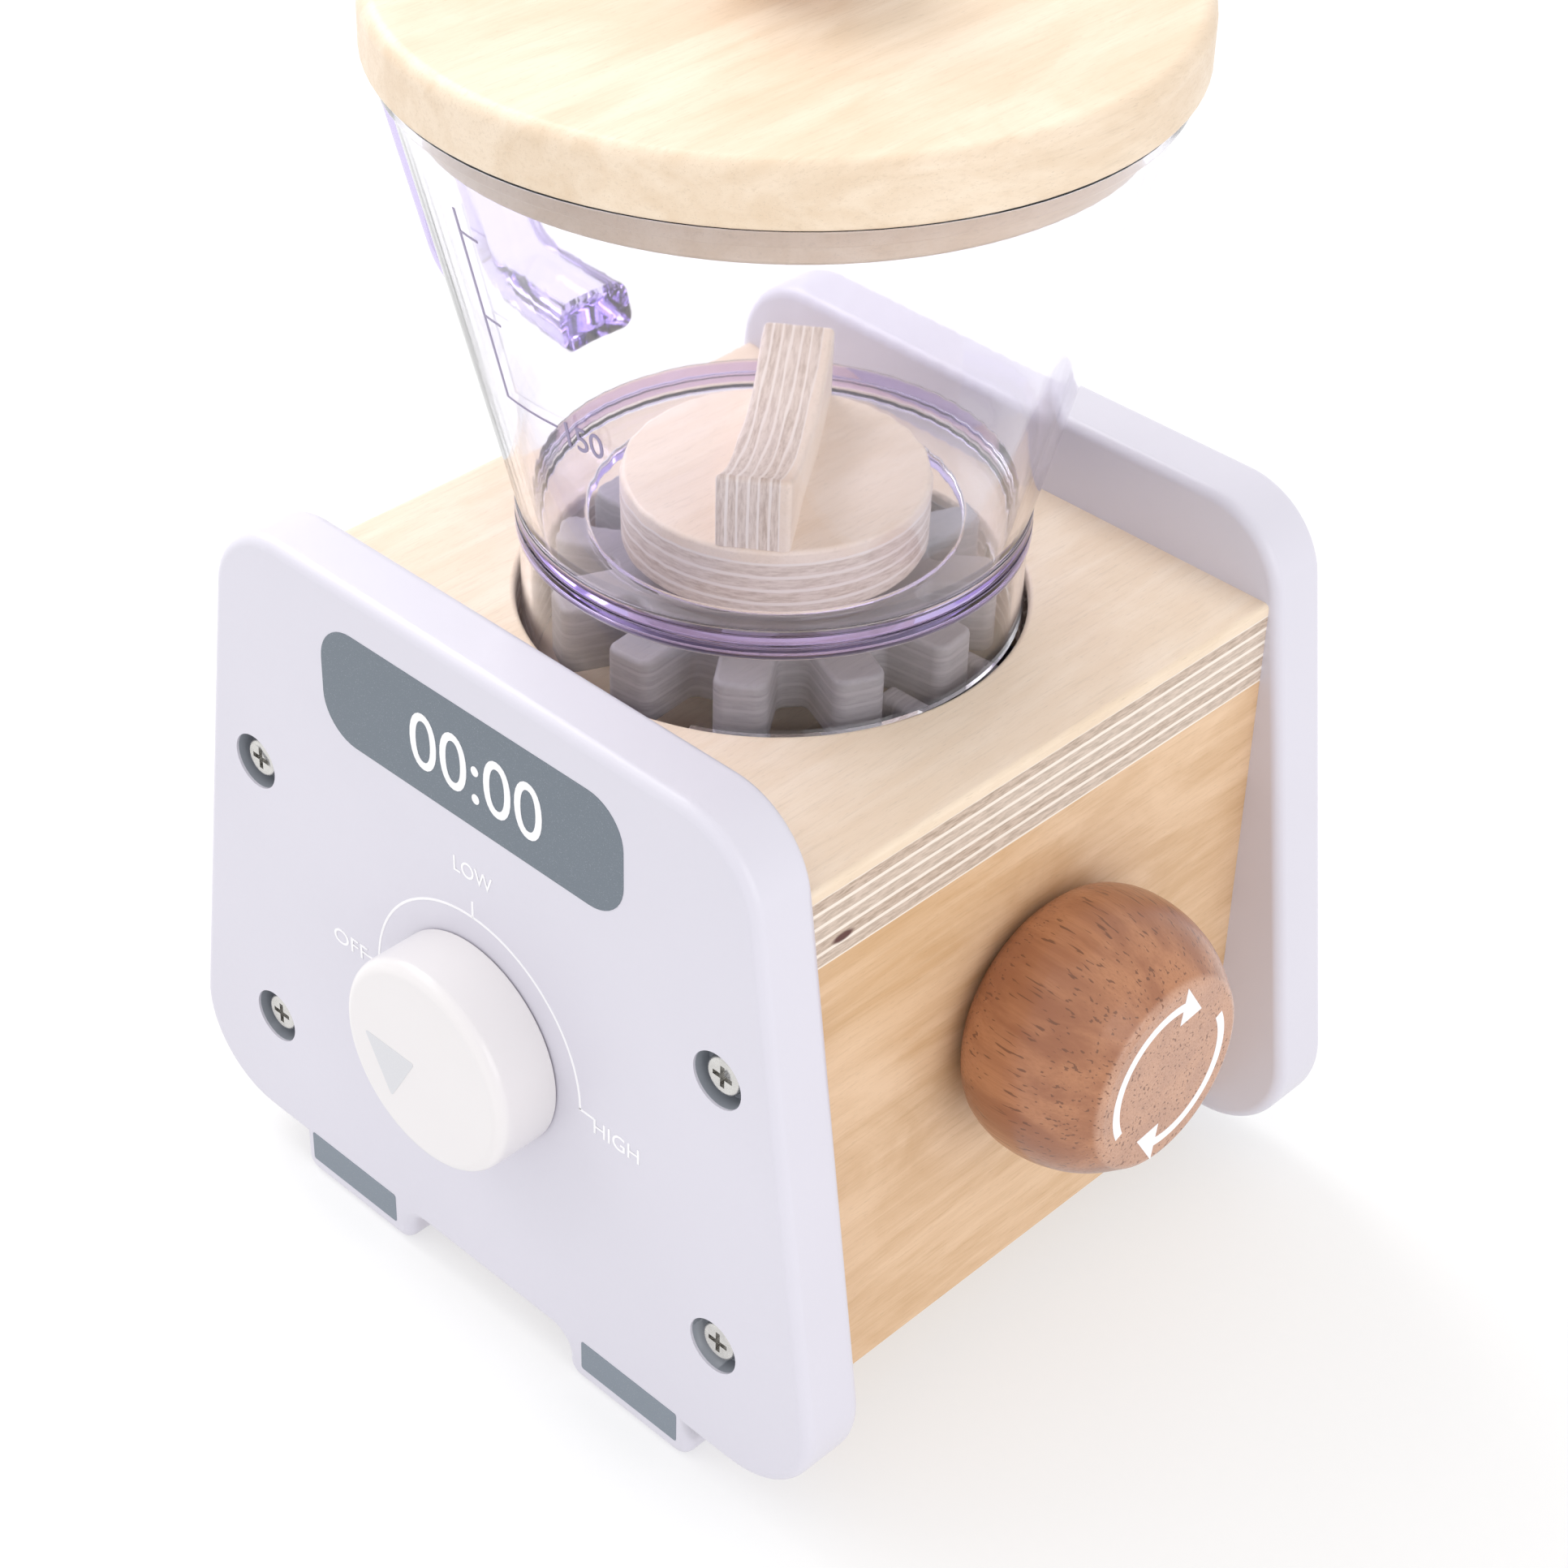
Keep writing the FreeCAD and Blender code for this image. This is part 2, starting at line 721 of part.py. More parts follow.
def lid_screw():
    return placed_screw(lid_screw_length, (0, 0, lid_plug_bottom + screw_recess_depth), axis_x, 180)


pieces = {
    "front_panel": [front_panel()],
    "rear_panel": [mirrored(with_screw_holes(panel_blank()), axis_y)],
    "top_plate": [top_plate()],
    "gear_shelf": [gear_shelf()],
    "left_side_board": [left_side_board()],
    "right_side_board": [right_side_board()],
    "bottom_board": [bottom_board()],
    "plate_dowels": [plate_dowel(x, y, dowel_radius, dowel_half_length) for x, y in plate_dowel_places()],
    "bottom_dowels": [bottom_dowel(s, y, dowel_radius, dowel_half_length) for s, y in bottom_dowel_places()],
    "front_screws": front_screws(),
    "rear_screws": [mirrored(screw, axis_y) for screw in front_screws()],
    "dial_knob": [dial_knob()],
    "dial_spindle": [dial_spindle()],
    "dial_washer": [dial_washer()],
    "dial_screw": [dial_screw()],
    "crank_knob": [crank_knob()],
    "crank_shaft": [crank_shaft()],
    "crank_gear": [crank_gear()],
    "crank_spacer": [crank_spacer()],
    "mixer_shaft": [mixer_shaft_drilled()],
    "drive_gear": [drive_gear()],
    "drive_spacer": [drive_spacer()],
    "hub_spacer": [hub_spacer()],
    "mixer_washer": [mixer_washer()],
    "mixer_screw": [mixer_screw()],
    "hub_disc": [hub_disc()],
    "mixing_blade": [mixing_blade()],
    "blade_dowels": [blade_dowel(x, y, blade_dowel_radius, 0) for x, y in blade_dowel_places()],
    "jug_body": [jug_body()],
    "jug_handle": [jug_handle()],
    "lid_disc": [lid_disc()],
    "lid_plug": [lid_plug()],
    "lid_knob": [lid_knob()],
    "lid_screw": [lid_screw()],
}

for name, solids in pieces.items():
    write(name, solids)
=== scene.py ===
import json
import math

import bmesh
import bpy
from mathutils import Matrix, Vector


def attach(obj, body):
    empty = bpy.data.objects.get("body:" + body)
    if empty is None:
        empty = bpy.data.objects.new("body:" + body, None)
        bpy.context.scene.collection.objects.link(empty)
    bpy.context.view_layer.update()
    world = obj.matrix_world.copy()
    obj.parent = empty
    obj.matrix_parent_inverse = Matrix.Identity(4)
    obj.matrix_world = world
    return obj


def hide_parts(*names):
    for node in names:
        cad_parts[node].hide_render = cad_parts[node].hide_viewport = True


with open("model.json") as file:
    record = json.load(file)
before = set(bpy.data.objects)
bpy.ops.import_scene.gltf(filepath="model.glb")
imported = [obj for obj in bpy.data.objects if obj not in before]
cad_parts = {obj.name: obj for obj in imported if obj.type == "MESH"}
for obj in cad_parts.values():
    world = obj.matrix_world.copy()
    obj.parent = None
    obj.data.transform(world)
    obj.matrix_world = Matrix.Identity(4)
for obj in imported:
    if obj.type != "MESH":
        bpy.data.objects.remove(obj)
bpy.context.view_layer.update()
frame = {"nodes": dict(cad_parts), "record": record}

mm = 0.001

# Places in the frame, in millimetres
axis_y = 5.95
panel_front = -59.55
panel_rear = 71.45
screw_x = 54
screw_heights = (86.7, 31.3)
screw_recess = 5.0
dial_face = -71.45
dial_height = 61.3
crank_face = 88.0
crank_height = 68.5
ring_bottom = 131.5
ring_top = 137
ring_radius = 41.3
notch_roof = 116.7
notch_half_turn = 65
cone_radius = 41.0
cone_slope = 0.244

# Prints and finishes
sunk = 0.04
line_half = 0.22
arc_radius = 24.2
tick_reach = 3.2
join_within = 0.001
flat_within = 0.1
turned_steps = 96
swept_steps = 48


class Value:
    """An output socket. Python sums and products on it become Math nodes."""

    def __init__(self, shader, socket):
        self.shader = shader
        self.socket = socket

    def __add__(self, other):
        return self.shader.maths("ADD", self, other)

    def __sub__(self, other):
        return self.shader.maths("SUBTRACT", self, other)

    def __rsub__(self, other):
        return self.shader.maths("SUBTRACT", other, self)

    def __mul__(self, other):
        return self.shader.maths("MULTIPLY", self, other)

    def __gt__(self, other):
        return self.shader.maths("GREATER_THAN", self, other)

    def __lt__(self, other):
        return self.shader.maths("LESS_THAN", self, other)

    __radd__ = __add__
    __rmul__ = __mul__


class Shader:
    """The node tree of a material or of the world."""

    def __init__(self, owner):
        owner.use_nodes = True
        self.owner = owner
        self.tree = owner.node_tree
        self.tree.nodes.clear()

    def node(self, kind, settings=None, sockets=None, output=0):
        """A new node: its settings come first, then the values or links of its sockets."""
        node = self.tree.nodes.new("ShaderNode" + kind)
        for key, value in (settings or {}).items():
            if key == "stops":
                for index, (place, colour) in enumerate(value):
                    stops = node.color_ramp.elements
                    stop = stops[index] if index < 2 else stops.new(place)
                    stop.position = place
                    stop.color = (*colour, 1)
            else:
                setattr(node, key, value)
        for key, value in (sockets or {}).items():
            socket = node.inputs[key]
            if isinstance(value, Value):
                self.tree.links.new(value.socket, socket)
            else:
                socket.default_value = (*value, 1) if socket.type == "RGBA" else value
        return Value(self, node.outputs[output]) if node.outputs else None

    def maths(self, operation, a, b=0.0):
        return self.node("Math", {"operation": operation}, {0: a, 1: b})

    def place(self, scale=(1, 1, 1)):
        """Object coordinates in millimetres, scaled."""
        raw = self.node("TexCoord", output=3)
        return self.node("Mapping", {}, {"Vector": raw, "Scale": tuple(1000 * s for s in scale)})

    def lie(self, grain, stack):
        """Millimetres along the grain, across it and up the stack of plies."""
        here = self.place()
        sides = (Vector(grain), Vector(stack).cross(Vector(grain)), Vector(stack))
        parts = [self.node("VectorMath", {"operation": "DOT_PRODUCT"}, {0: here, 1: side}, output=1)
                 for side in sides]
        return self.node("CombineXYZ", {}, dict(enumerate(parts)))

    def stretch(self, vector, scale):
        return self.node("VectorMath", {"operation": "MULTIPLY"}, {0: vector, 1: scale})

    def part(self, vector, name):
        return self.node("SeparateXYZ", {}, {0: vector}, output="XYZ".index(name))

    def noise(self, vector, scale, detail=3.0, roughness=0.5, distortion=0.0):
        return self.node("TexNoise", {}, {"Vector": vector, "Scale": scale, "Detail": detail,
                                          "Roughness": roughness, "Distortion": distortion})

    def ease(self, value, low, high, start=0.0, end=1.0):
        """A smooth step from start to end while value goes from low to high."""
        return self.node("MapRange", {"interpolation_type": "SMOOTHSTEP"},
                         {"Value": value, "From Min": low, "From Max": high, "To Min": start, "To Max": end})

    def mix(self, factor, a, b):
        return self.node("Mix", {"data_type": "RGBA"}, {0: factor, 6: a, 7: b}, output=2)

    def spot(self, vector, centre, inner, outer):
        """1 at a centre, falling to 0 between two radii."""
        gap = self.node("VectorMath", {"operation": "DISTANCE"}, {0: vector, 1: centre}, output=1)
        return self.ease(gap, inner, outer, 1.0, 0.0)

    def bump(self, height, strength, depth):
        return self.node("Bump", {}, {"Height": height, "Strength": strength, "Distance": depth * mm})

    def seen(self):
        """1 for rays from the camera, reflected rays and transmitted rays, 0 for the rest."""
        direct, reflected, through = (self.node("LightPath", output=name) for name in
                                      ("Is Camera Ray", "Is Reflection Ray", "Is Transmission Ray"))
        return self.maths("MAXIMUM", self.maths("MAXIMUM", direct, reflected), through)

    def surface(self, sockets):
        """Ends a material with one Principled shader."""
        shader = self.node("BsdfPrincipled", {}, sockets)
        self.node("OutputMaterial", {}, {"Surface": shader})
        return self.owner


def material(name):
    return Shader(bpy.data.materials.new(name))


def paint(name, colour):
    """Satin paint: a fine orange peel, a very soft change of tone and painted shade in the screw recesses."""
    m = material(name)
    here = m.place()
    cloud = m.noise(here, 0.03, 2)
    peel = m.noise(here, 1.6, 2)
    darker = tuple(0.95 * c for c in colour)
    depth = m.part(here, "Y")
    inside = (depth > panel_front + 0.45) * (depth < panel_rear - 0.45)
    # Painted shade: inside the screw recesses, away from the front and rear faces, the paint is mixed to a dark
    # grey.
    painted_recess_shade = 0.0
    for x in (-screw_x, screw_x):
        for z in screw_heights:
            painted_recess_shade = painted_recess_shade + m.spot(m.place((1, 0, 1)), (x, 0, z), screw_recess, screw_recess + 0.3)
    tone = m.mix(inside * painted_recess_shade, m.mix(cloud, darker, colour), (0.3, 0.32, 0.36))
    return m.surface({"Base Color": tone,
                      "Roughness": m.ease(peel, 0.3, 0.7, 0.3, 0.42),
                      "Coat Weight": 0.15, "Coat Roughness": 0.25,
                      "Normal": m.bump(peel, 0.25, 0.03)})


def figure(m, wood, pale, deep):
    """The cloudy figure and the fine lines of birch, with X along the grain."""
    cloud = m.noise(m.stretch(wood, (0.5, 1, 1)), 0.045, 4, 0.6, 1.2)
    flame = m.noise(m.stretch(wood, (0.09, 1, 1)), 0.22, 5, 0.62, 0.6)
    line = m.noise(m.stretch(wood, (0.06, 1, 1)), 1.9, 3, 0.6)
    depth = m.ease(cloud * 0.55 + flame * 0.45, 0.36, 0.66)
    tone = m.mix(depth, deep, pale)
    pores = m.noise(m.stretch(wood, (0.1, 1, 1)), 5.5, 2)
    tone = m.mix(m.ease(pores, 0.6, 0.75, 0.0, 0.35), tone, tuple(0.6 * c for c in deep))
    return m.mix(m.ease(line, 0.5, 0.78, 0.0, 0.3), tone, tuple(0.74 * c for c in deep)), line


def board(name, pale, deep, grain=(0, 1, 0), stack=(1, 0, 0)):
    """A lacquered birch board."""
    m = material(name)
    colour, line = figure(m, m.lie(grain, stack), pale, deep)
    return m.surface({"Base Color": colour,
                      "Roughness": m.ease(line, 0.3, 0.7, 0.37, 0.52),
                      "Coat Weight": 0.12, "Coat Roughness": 0.3,
                      "Normal": m.bump(line, 0.2, 0.05)})


def plywood(name, start, layer, skin, tones, grain=(0, 1, 0), stack=(0, 0, 1), knot=None, roughness=0.45):
    """Plywood up a stack: where the first ply starts, how thick a ply is, and where the face ply starts."""
    pale, deep, band, streak, glue = tones
    m = material(name)
    wood = m.lie(grain, stack)
    height = m.part(wood, "Z")
    wave = m.noise(m.stretch(wood, (0.5, 1, 1)), 0.07, 2)
    level = (height + (wave - 0.5) * 0.5 - start) * (1 / layer)
    colour, line = figure(m, wood, pale, deep)
    thin = m.ease(m.maths("ABSOLUTE", m.maths("FRACT", level) - 0.5), 0.34, 0.42)
    streaks = m.noise(m.stretch(wood, (0.35, 0.35, 2.4)), 0.9, 5, 0.72)
    tone = m.node("TexWhiteNoise", {"noise_dimensions": "1D"}, {"W": m.maths("FLOOR", level)})
    lamina = m.mix(m.ease(streaks, 0.38, 0.66), band, streak)
    lamina = m.mix(tone * 0.22, lamina, glue)
    lamina = m.mix(thin, lamina, glue)
    face = m.maths("MAXIMUM", m.ease(height, skin - 0.15, skin + 0.05), height < start + 0.05)
    whole = m.mix(face, lamina, colour)
    if knot:
        whole = m.mix(m.spot(m.place((1, 0.35, 1)), knot, 0.5, 1.0), whole, (0.1, 0.035, 0.03))
    return m.surface({"Base Color": whole,
                      "Roughness": m.ease(line, 0.3, 0.7, roughness - 0.03, roughness + 0.12),
                      "Coat Weight": 0.1, "Coat Roughness": 0.3,
                      "Normal": m.bump(line + thin * 0.5, 0.22, 0.06)})


def turned_beech(name, dark_spot):
    """Red-brown beech with short dark flecks along X."""
    m = material(name)
    here = m.place()
    cloud = m.noise(m.place((0.12, 1, 1)), 0.16, 4, 0.6, 0.5)
    fleck = m.noise(m.place((0.08, 1, 1)), 1.75, 1.5, 0.5)
    fine = m.noise(m.place((0.05, 1, 1)), 3.0, 3, 0.6)
    tone = m.mix(m.ease(cloud, 0.35, 0.65), (0.32, 0.12, 0.055), (0.46, 0.2, 0.095))
    # Painted sheen: the crank knob's front face and its rim are mixed half way to a pale pink-brown.
    tone = m.mix(m.ease(m.part(here, "X"), 86.8, 87.8, 0.0, 0.5), tone, (0.66, 0.42, 0.31))
    tone = m.mix(m.ease(fine, 0.4, 0.75, 0.0, 0.4), tone, (0.3, 0.12, 0.05))
    tone = m.mix(m.ease(fleck, 0.62, 0.67, 0.0, 0.8), tone, (0.15, 0.055, 0.025))
    tone = m.mix(m.spot(here, dark_spot, 0.4, 1.3), tone, (0.09, 0.035, 0.02))
    return m.surface({"Base Color": tone,
                      "Roughness": m.ease(fine, 0.3, 0.7, 0.3, 0.42),
                      "Coat Weight": 0.3, "Coat Roughness": 0.18,
                      "Normal": m.bump(1.0 - m.ease(fleck, 0.62, 0.69), 0.15, 0.05)})


def moulded(name, colour):
    """Smooth moulded plastic, a little milky."""
    m = material(name)
    skin = m.noise(m.place(), 0.3, 2)
    tone = m.noise(m.place(), 0.05, 2)
    return m.surface({"Base Color": m.mix(tone, tuple(0.96 * c for c in colour), colour),
                      "Roughness": m.ease(skin, 0.3, 0.7, 0.28, 0.32),
                      "Coat Weight": 0.3, "Coat Roughness": 0.15})


def clear(name, tint, density, band=None):
    """Clear plastic with a lilac depth. band is the height range of the purple ring."""
    m = material(name)
    here = m.place()
    skin = m.noise(here, 0.12, 2)
    height = m.part(here, "Z")
    colour = (0.985, 0.98, 1.0)
    if band:
        ring = m.ease(height, band[0], band[0] + 0.8) - m.ease(height, band[1] - 0.8, band[1])
        flat = m.place((1, 1, 0))
        ring = ring * (1.0 - m.spot(flat, (0, axis_y, 0), ring_radius - 0.9, ring_radius - 0.6))
        colour = m.mix(ring, colour, (0.45, 0.34, 0.78))
    shader = m.node("BsdfPrincipled", {}, {"Base Color": colour, "Roughness": 0.03, "IOR": 1.47,
                                           "Transmission Weight": 1.0, "Normal": m.bump(skin, 0.06, 0.1)})
    shade = m.node("BsdfTransparent", {}, {"Color": (0.985, 0.98, 0.995)})
    through = m.node("MixShader", {}, {0: m.node("LightPath", output="Is Shadow Ray"), 1: shader, 2: shade})
    depth = m.node("VolumeAbsorption", {}, {"Color": tint, "Density": density})
    m.node("OutputMaterial", {}, {"Surface": through, "Volume": depth})
    return m.owner


def steel(name):
    """Zinc-plated steel with fine turning marks."""
    m = material(name)
    mark = m.noise(m.place((1, 0.2, 1)), 3.5, 3)
    dull = m.noise(m.place(), 0.5, 3)
    return m.surface({"Base Color": m.mix(dull, (0.5, 0.49, 0.47), (0.72, 0.71, 0.69)),
                      "Metallic": 1.0,
                      "Roughness": m.ease(mark, 0.3, 0.7, 0.2, 0.38),
                      "Normal": m.bump(mark, 0.2, 0.03)})


def ink(name, colour, speckle, roughness):
    """A printed colour with a faint speckle."""
    m = material(name)
    dot = m.noise(m.place(), 4.5, 2)
    return m.surface({"Base Color": m.mix(m.ease(dot, 0.58, 0.7), colour, speckle),
                      "Roughness": m.ease(dot, 0.3, 0.7, roughness, roughness + 0.1),
                      "Normal": m.bump(dot, 0.12, 0.02)})


blade_turn = math.radians(-54)
blade_grain = (math.cos(blade_turn), math.sin(blade_turn), 0)
blade_side = Vector((-blade_grain[1], blade_grain[0], 0))
blade_middle = blade_side.dot((0, axis_y, 0))

# Tones of plywood: face, its figure, ply, its streaks, glue line
birch_tones = ((0.88, 0.745, 0.6), (0.8, 0.64, 0.48), (0.62, 0.49, 0.4), (0.38, 0.285, 0.215), (0.88, 0.79, 0.7))
# Painted light: the same birch made paler for the hub disc and blade, making up for the light lost through the
# clear jug.
lightened_birch_tones = ((0.96, 0.85, 0.74), (0.9, 0.77, 0.64), (0.84, 0.74, 0.65), (0.58, 0.47, 0.39), (0.97, 0.9, 0.83))
grey_tones = ((0.4, 0.385, 0.4), (0.33, 0.32, 0.335), (0.36, 0.345, 0.36), (0.28, 0.27, 0.285),
              (0.4, 0.385, 0.4))

panel_paint = paint("panel_paint", (0.69, 0.67, 0.75))
plate_ply = plywood("plate_plywood", 103, 2.62, 116, birch_tones, knot=(60, -14, 106.4))
disc_ply = plywood("disc_plywood", 129.1, 2.4, 138.9, lightened_birch_tones)
blade_ply = plywood("blade_plywood", blade_middle - 5.75, 1.65, blade_middle + 4.2, lightened_birch_tones,
                    blade_grain, blade_side)
side_board = board("honey_birch", (0.78, 0.545, 0.35), (0.62, 0.39, 0.205))
inner_board = board("inner_birch", (0.84, 0.7, 0.55), (0.74, 0.58, 0.42))
pale_wood = board("pale_wood", (0.8, 0.65, 0.49), (0.68, 0.52, 0.36), (0, 0, 1), (1, 0, 0))
beech = turned_beech("turned_beech", (80, -9, 55))
drive_grey = plywood("drive_stain", 111.5, 2.4, 121.9, grey_tones, roughness=0.6)
crank_grey = plywood("crank_stain", 29.5, 1.8, 36.8, grey_tones, stack=(1, 0, 0), roughness=0.6)
white_plastic = moulded("white_plastic", (0.8, 0.77, 0.775))
jug_clear = clear("clear_lilac", (0.66, 0.5, 0.96), 14, (ring_bottom, ring_top))
handle_clear = clear("handle_lilac", (0.6, 0.42, 0.95), 34)
screw_steel = steel("zinc_steel")
display_ink = ink("display_ink", (0.135, 0.165, 0.2), (0.22, 0.25, 0.29), 0.35)
foot_ink = ink("foot_ink", (0.2, 0.235, 0.28), (0.27, 0.3, 0.34), 0.4)
white_ink = ink("white_ink", (0.92, 0.91, 0.93), (0.86, 0.86, 0.88), 0.4)
pointer_ink = ink("pointer_ink", (0.66, 0.66, 0.69), (0.7, 0.7, 0.72), 0.4)
scale_ink = ink("scale_ink", (0.3, 0.26, 0.4), (0.36, 0.32, 0.46), 0.3)

finishes = {
    panel_paint: ["front_panel", "rear_panel"],
    plate_ply: ["top_plate"],
    disc_ply: ["hub_disc"],
    blade_ply: ["mixing_blade"],
    side_board: ["left_side_board", "right_side_board"],
    inner_board: ["gear_shelf", "bottom_board", "lid_disc", "lid_plug"],
    pale_wood: ["plate_dowels", "bottom_dowels", "blade_dowels", "crank_shaft", "crank_spacer", "mixer_shaft",
                "drive_spacer", "hub_spacer"],
    beech: ["crank_knob", "lid_knob"],
    drive_grey: ["drive_gear"],
    crank_grey: ["crank_gear"],
    white_plastic: ["dial_knob", "dial_spindle"],
    jug_clear: ["jug_body"],
    handle_clear: ["jug_handle"],
    screw_steel: ["front_screws", "rear_screws", "dial_washer", "dial_screw", "mixer_washer", "mixer_screw",
                  "lid_screw"],
}
body_of_node = {node: body for body, nodes in frame["record"]["behaviour"]["bodies"].items() for node in nodes}


def piece_from(name, work, finish, body):
    """A finished bmesh as an object that rides on a body."""
    mesh = bpy.data.meshes.new(name)
    work.to_mesh(mesh)
    work.free()
    mesh.materials.append(finish)
    piece = bpy.data.objects.new(name, mesh)
    bpy.context.scene.collection.objects.link(piece)
    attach(piece, body)
    return piece


def smooth(piece, angle):
    """Smooth shading up to an angle, with flat faces kept flat."""
    mesh = piece.data
    mesh.polygons.foreach_set("use_smooth", [True] * len(mesh.polygons))
    mesh.set_sharp_from_angle(angle=math.radians(angle))
    weigh = piece.modifiers.new("weigh", "WEIGHTED_NORMAL")
    weigh.keep_sharp = True
    weigh.weight = 100


def refined(node, finish, soften):
    """A joined and smoothly shaded copy of a CAD piece, with softened edges where soften isn't 0."""
    work = bmesh.new()
    work.from_mesh(frame["nodes"][node].data)
    bmesh.ops.remove_doubles(work, verts=work.verts, dist=join_within * mm)
    bmesh.ops.dissolve_limit(work, angle_limit=math.radians(flat_within), verts=work.verts, edges=work.edges)
    if soften:
        crisp = [e for e in work.edges if len(e.link_faces) == 2 and e.calc_face_angle() > math.radians(60)]
        bmesh.ops.bevel(work, geom=crisp, offset=soften * mm, offset_type="OFFSET", segments=3, profile=0.5,
                        affect="EDGES", material=-1, clamp_overlap=True)
    work.normal_update()
    piece = piece_from(node + "_finish", work, finish, body_of_node[node])
    smooth(piece, 35)
    return piece


def turned(node, finish, outline, about=(0, 0, 1), centre=(0, axis_y, 0)):
    """A piece turned round an axis, from (radius, place along it, rounding). A closed outline ends at its start."""
    work = bmesh.new()
    lathe = Vector(about)
    out = Vector((0, 0, 1)) if about[1] or about[0] else Vector((1, 0, 0))
    at = [(Vector(centre) + out * r + lathe * h) * mm for r, h, _ in outline]
    closed = outline[0] == outline[-1]
    verts = [work.verts.new(p) for p in (at[:-1] if closed else at)]
    for a, b in zip(verts, verts[1:] + verts[:1] if closed else verts[1:]):
        work.edges.new((a, b))
    for vert, (_, _, rounding) in list(zip(verts, outline)):
        if rounding:
            bmesh.ops.bevel(work, geom=[vert], offset=rounding * mm, segments=6, profile=0.5,
                            affect="VERTICES", material=-1)
    bmesh.ops.spin(work, geom=work.verts[:] + work.edges[:], cent=Vector(centre) * mm, axis=lathe,
                   angle=math.tau, steps=turned_steps, use_merge=True)
    bmesh.ops.remove_doubles(work, verts=work.verts, dist=join_within * mm)
    bmesh.ops.recalc_face_normals(work, faces=work.faces)
    if node == "jug_body":
        notched(work)
    piece = piece_from(node + "_finish", work, finish, body_of_node[node])
    smooth(piece, 40)
    return piece


def notched(work):
    """Opens the jug's skirt where the crank gear passes, and closes the cut."""
    gone = []
    for face in work.faces:
        middle = face.calc_center_median() / mm - Vector((0, axis_y, 0))
        if middle.z < notch_roof and abs(math.atan2(middle.y, middle.x)) < math.radians(notch_half_turn):
            gone.append(face)
    bmesh.ops.delete(work, geom=gone, context="FACES")
    rim = [e for e in work.edges
           if e.is_boundary and all(abs(v.co.z / mm - notch_roof) < 0.01 for v in e.verts)]
    bmesh.ops.bridge_loops(work, edges=rim)
    bmesh.ops.holes_fill(work, edges=[e for e in work.edges if e.is_boundary], sides=0)
    bmesh.ops.recalc_face_normals(work, faces=work.faces)


softened = {"drive_gear": 0.9, "crank_gear": 0.9, "gear_shelf": 0.4}
lathed = {
    "jug_body": [(40.6, 103.2, 0.4), (40.6, notch_roof, 0), (40.6, ring_bottom, 0.3),
                 (ring_radius, ring_bottom, 0.3), (ring_radius, 133.95, 0.2), (40.8, 133.95, 0.1),
                 (40.8, 134.55, 0.1), (ring_radius, 134.55, 0.2), (ring_radius, ring_top, 0.3),
                 (cone_radius, ring_top, 0.1), (59.06, 211.0, 0.2), (60.26, 211.0, 0.4), (60.99, 214.0, 0.8),
                 (57.59, 214.0, 0.8), (38.07, 134.0, 0.8), (30.0, 134.0, 0.6), (30.0, ring_bottom, 0.6),
                 (38.9, ring_bottom, 1.0), (38.9, notch_roof, 0), (38.9, 103.2, 0.4), (40.6, 103.2, 0.4)],
    "dial_knob": [(0, 59.75, 0), (19.0, 59.75, 0.3), (19.0, 71.45, 2.2), (0, 71.45, 0)],
    "crank_knob": [(0, 60.5, 0), (17.6, 60.5, 1.0), (21.4, 63.6, 1.8), (23.3, 68.5, 2.4), (23.3, 75.0, 2.6),
                   (21.2, 82.0, 3.0), (16.5, 88.0, 0.9), (0, 88.0, 0)],
    "lid_disc": [(0, 214.2, 0), (62.0, 214.2, 0.8), (62.0, 224.2, 2.5), (0, 224.2, 0)],
    "lid_plug": [(0, 206.2, 0), (55.18, 206.2, 1.0), (55.18, 214.2, 0.1), (0, 214.2, 0)],
    "lid_knob": [(0, 224.2, 0), (8.5, 224.2, 0.2), (9.8, 229.5, 3.0), (14.0, 238.2, 3.5), (12.2, 245.0, 3.0),
                 (0, 246.2, 0)],
    "hub_disc": [(0, 129.1, 0), (24.8, 129.1, 0.8), (24.8, 141.0, 0.8), (0, 141.0, 0)],
}
lathe_places = {
    "dial_knob": ((0, -1, 0), (0, 0, dial_height)),
    "crank_knob": ((1, 0, 0), (0, axis_y, crank_height)),
}
for finish, nodes in finishes.items():
    for node in nodes:
        if node in lathed:
            piece = turned(node, finish, lathed[node], *lathe_places.get(node, ()))
        else:
            piece = refined(node, finish, softened.get(node, 0.0))
        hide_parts(node)


def slab(name, corners, rise, finish, body, round_by=0.0):
    """A thin closed plate: a flat outline, raised along a vector. Its corners may be rounded."""
    work = bmesh.new()
    work.faces.new([work.verts.new(Vector(c) * mm) for c in corners])
    if round_by:
        bmesh.ops.bevel(work, geom=work.verts[:], offset=round_by * mm, segments=10, profile=0.5,
                        affect="VERTICES", material=-1)
    raised = bmesh.ops.extrude_face_region(work, geom=work.faces[:])
    tops = [v for v in raised["geom"] if isinstance(v, bmesh.types.BMVert)]
    bmesh.ops.translate(work, verts=tops, vec=Vector(rise) * mm)
    bmesh.ops.recalc_face_normals(work, faces=work.faces)
    return piece_from(name, work, finish, body)


def swept(name, corners, centre, about, angle, finish, body):
    """A thin bar: a small face swept round an axis."""
    work = bmesh.new()
    face = work.faces.new([work.verts.new(Vector(c) * mm) for c in corners])
    geom = [face, *face.edges, *face.verts]
    bmesh.ops.spin(work, geom=geom, cent=Vector(centre) * mm, axis=about, angle=math.radians(angle),
                   steps=swept_steps)
    bmesh.ops.recalc_face_normals(work, faces=work.faces)
    return piece_from(name, work, finish, body)


